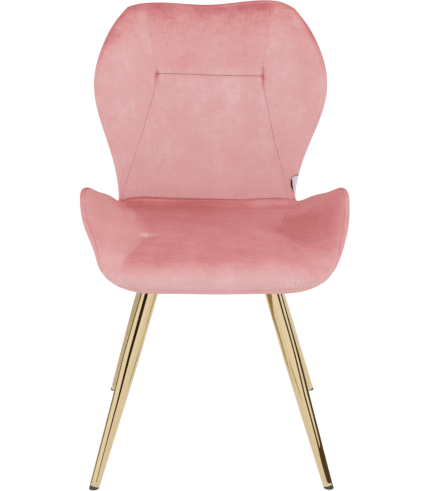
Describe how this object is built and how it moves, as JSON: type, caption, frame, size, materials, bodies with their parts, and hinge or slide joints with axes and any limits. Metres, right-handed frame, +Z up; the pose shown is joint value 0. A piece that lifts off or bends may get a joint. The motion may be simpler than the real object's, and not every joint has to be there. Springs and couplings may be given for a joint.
{
  "type": "upholstered shell chair",
  "caption": "Dining chair with a one-piece velvet shell: winged back with a scalloped top, low swept arms and slim tapered gold legs splayed outwards.",
  "frame": {"origin": "on the floor, under the middle of the chair's bounding box", "axes": "+Z up; the chair faces -Y; +X to the viewer's right when looking at its front"},
  "size_m": [0.5205, 0.5626, 0.8857],
  "materials": {
    "velvet_front": "dusty pink short-pile velvet, sewn panels",
    "velvet_rear": "the same dusty pink velvet, pulled tight over the shell",
    "foam": "open-cell foam, unpainted",
    "moulded_shell": "moulded, matte",
    "plywood": "raw birch plywood",
    "dust_cloth": "black non-woven cloth",
    "leg_gold": "polished, plated steel tube",
    "plate_steel": "black powder coat",
    "zinc": "zinc plated",
    "glide": "moulded, matte",
    "tab": "woven ribbon, blank"
  },
  "bodies": {
    "root": {"bolt_front_left_1": "zinc", "bolt_front_left_2": "zinc", "bolt_front_left_3": "zinc", "bolt_front_right_1": "zinc", "bolt_front_right_2": "zinc", "bolt_front_right_3": "zinc", "bolt_rear_left_1": "zinc", "bolt_rear_left_2": "zinc", "bolt_rear_left_3": "zinc", "bolt_rear_right_1": "zinc", "bolt_rear_right_2": "zinc", "bolt_rear_right_3": "zinc", "dust_cover": "dust_cloth", "foam_arm_left": "foam", "foam_arm_right": "foam", "foam_back_lower": "foam", "foam_back_upper": "foam", "foam_seat": "foam", "foam_wing_left": "foam", "foam_wing_right": "foam", "glide_front_left": "glide", "glide_front_right": "glide", "glide_rear_left": "glide", "glide_rear_right": "glide", "leg_front_left": "leg_gold", "leg_front_right": "leg_gold", "leg_plate_front_left": "plate_steel", "leg_plate_front_right": "plate_steel", "leg_plate_rear_left": "plate_steel", "leg_plate_rear_right": "plate_steel", "leg_rear_left": "leg_gold", "leg_rear_right": "leg_gold", "rear_cover_back": "velvet_rear", "rear_cover_seat": "velvet_rear", "seat_board": "plywood", "side_tab": "tab", "structural_shell": "moulded_shell", "t_nut_front_left_1": "zinc", "t_nut_front_left_2": "zinc", "t_nut_front_left_3": "zinc", "t_nut_front_right_1": "zinc", "t_nut_front_right_2": "zinc", "t_nut_front_right_3": "zinc", "t_nut_rear_left_1": "zinc", "t_nut_rear_left_2": "zinc", "t_nut_rear_left_3": "zinc", "t_nut_rear_right_1": "zinc", "t_nut_rear_right_2": "zinc", "t_nut_rear_right_3": "zinc", "velvet_arm_left": "velvet_front", "velvet_arm_right": "velvet_front", "velvet_back_lower": "velvet_front", "velvet_back_upper": "velvet_front", "velvet_seat": "velvet_front", "velvet_wing_left": "velvet_front", "velvet_wing_right": "velvet_front"}
  },
  "joints": []
}
